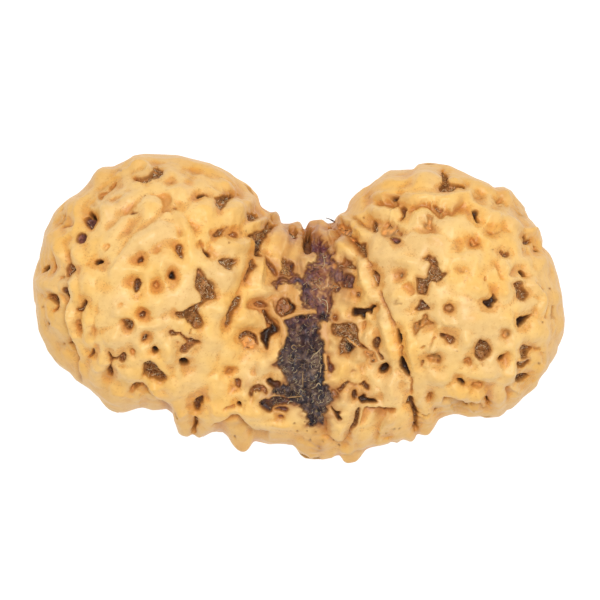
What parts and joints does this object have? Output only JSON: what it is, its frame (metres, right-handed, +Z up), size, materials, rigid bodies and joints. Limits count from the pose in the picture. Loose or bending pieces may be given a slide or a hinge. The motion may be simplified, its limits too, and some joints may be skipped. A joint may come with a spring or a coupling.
{
  "type": "twin rudraksha seed",
  "caption": "Naturally joined, lobed rudraksha seed with a netted, pitted husk and a dark scar along the join; a bead or natural ornament that lies on its back.",
  "frame": {"origin": "middle of the seed's box, on the surface that it lies on", "axes": "+X runs through both lobes, +Y points to the notch, +Z up, to the side that the picture shows"},
  "size_m": [0.038, 0.0226, 0.0181],
  "materials": {
    "husk": "waxy, half-matt, smooth on the net and brown and fibrous in its openings",
    "fibre": "dry, dull, tangled plant fibre"
  },
  "bodies": {
    "root": {"rudraksha_seed": "husk"}
  },
  "joints": []
}
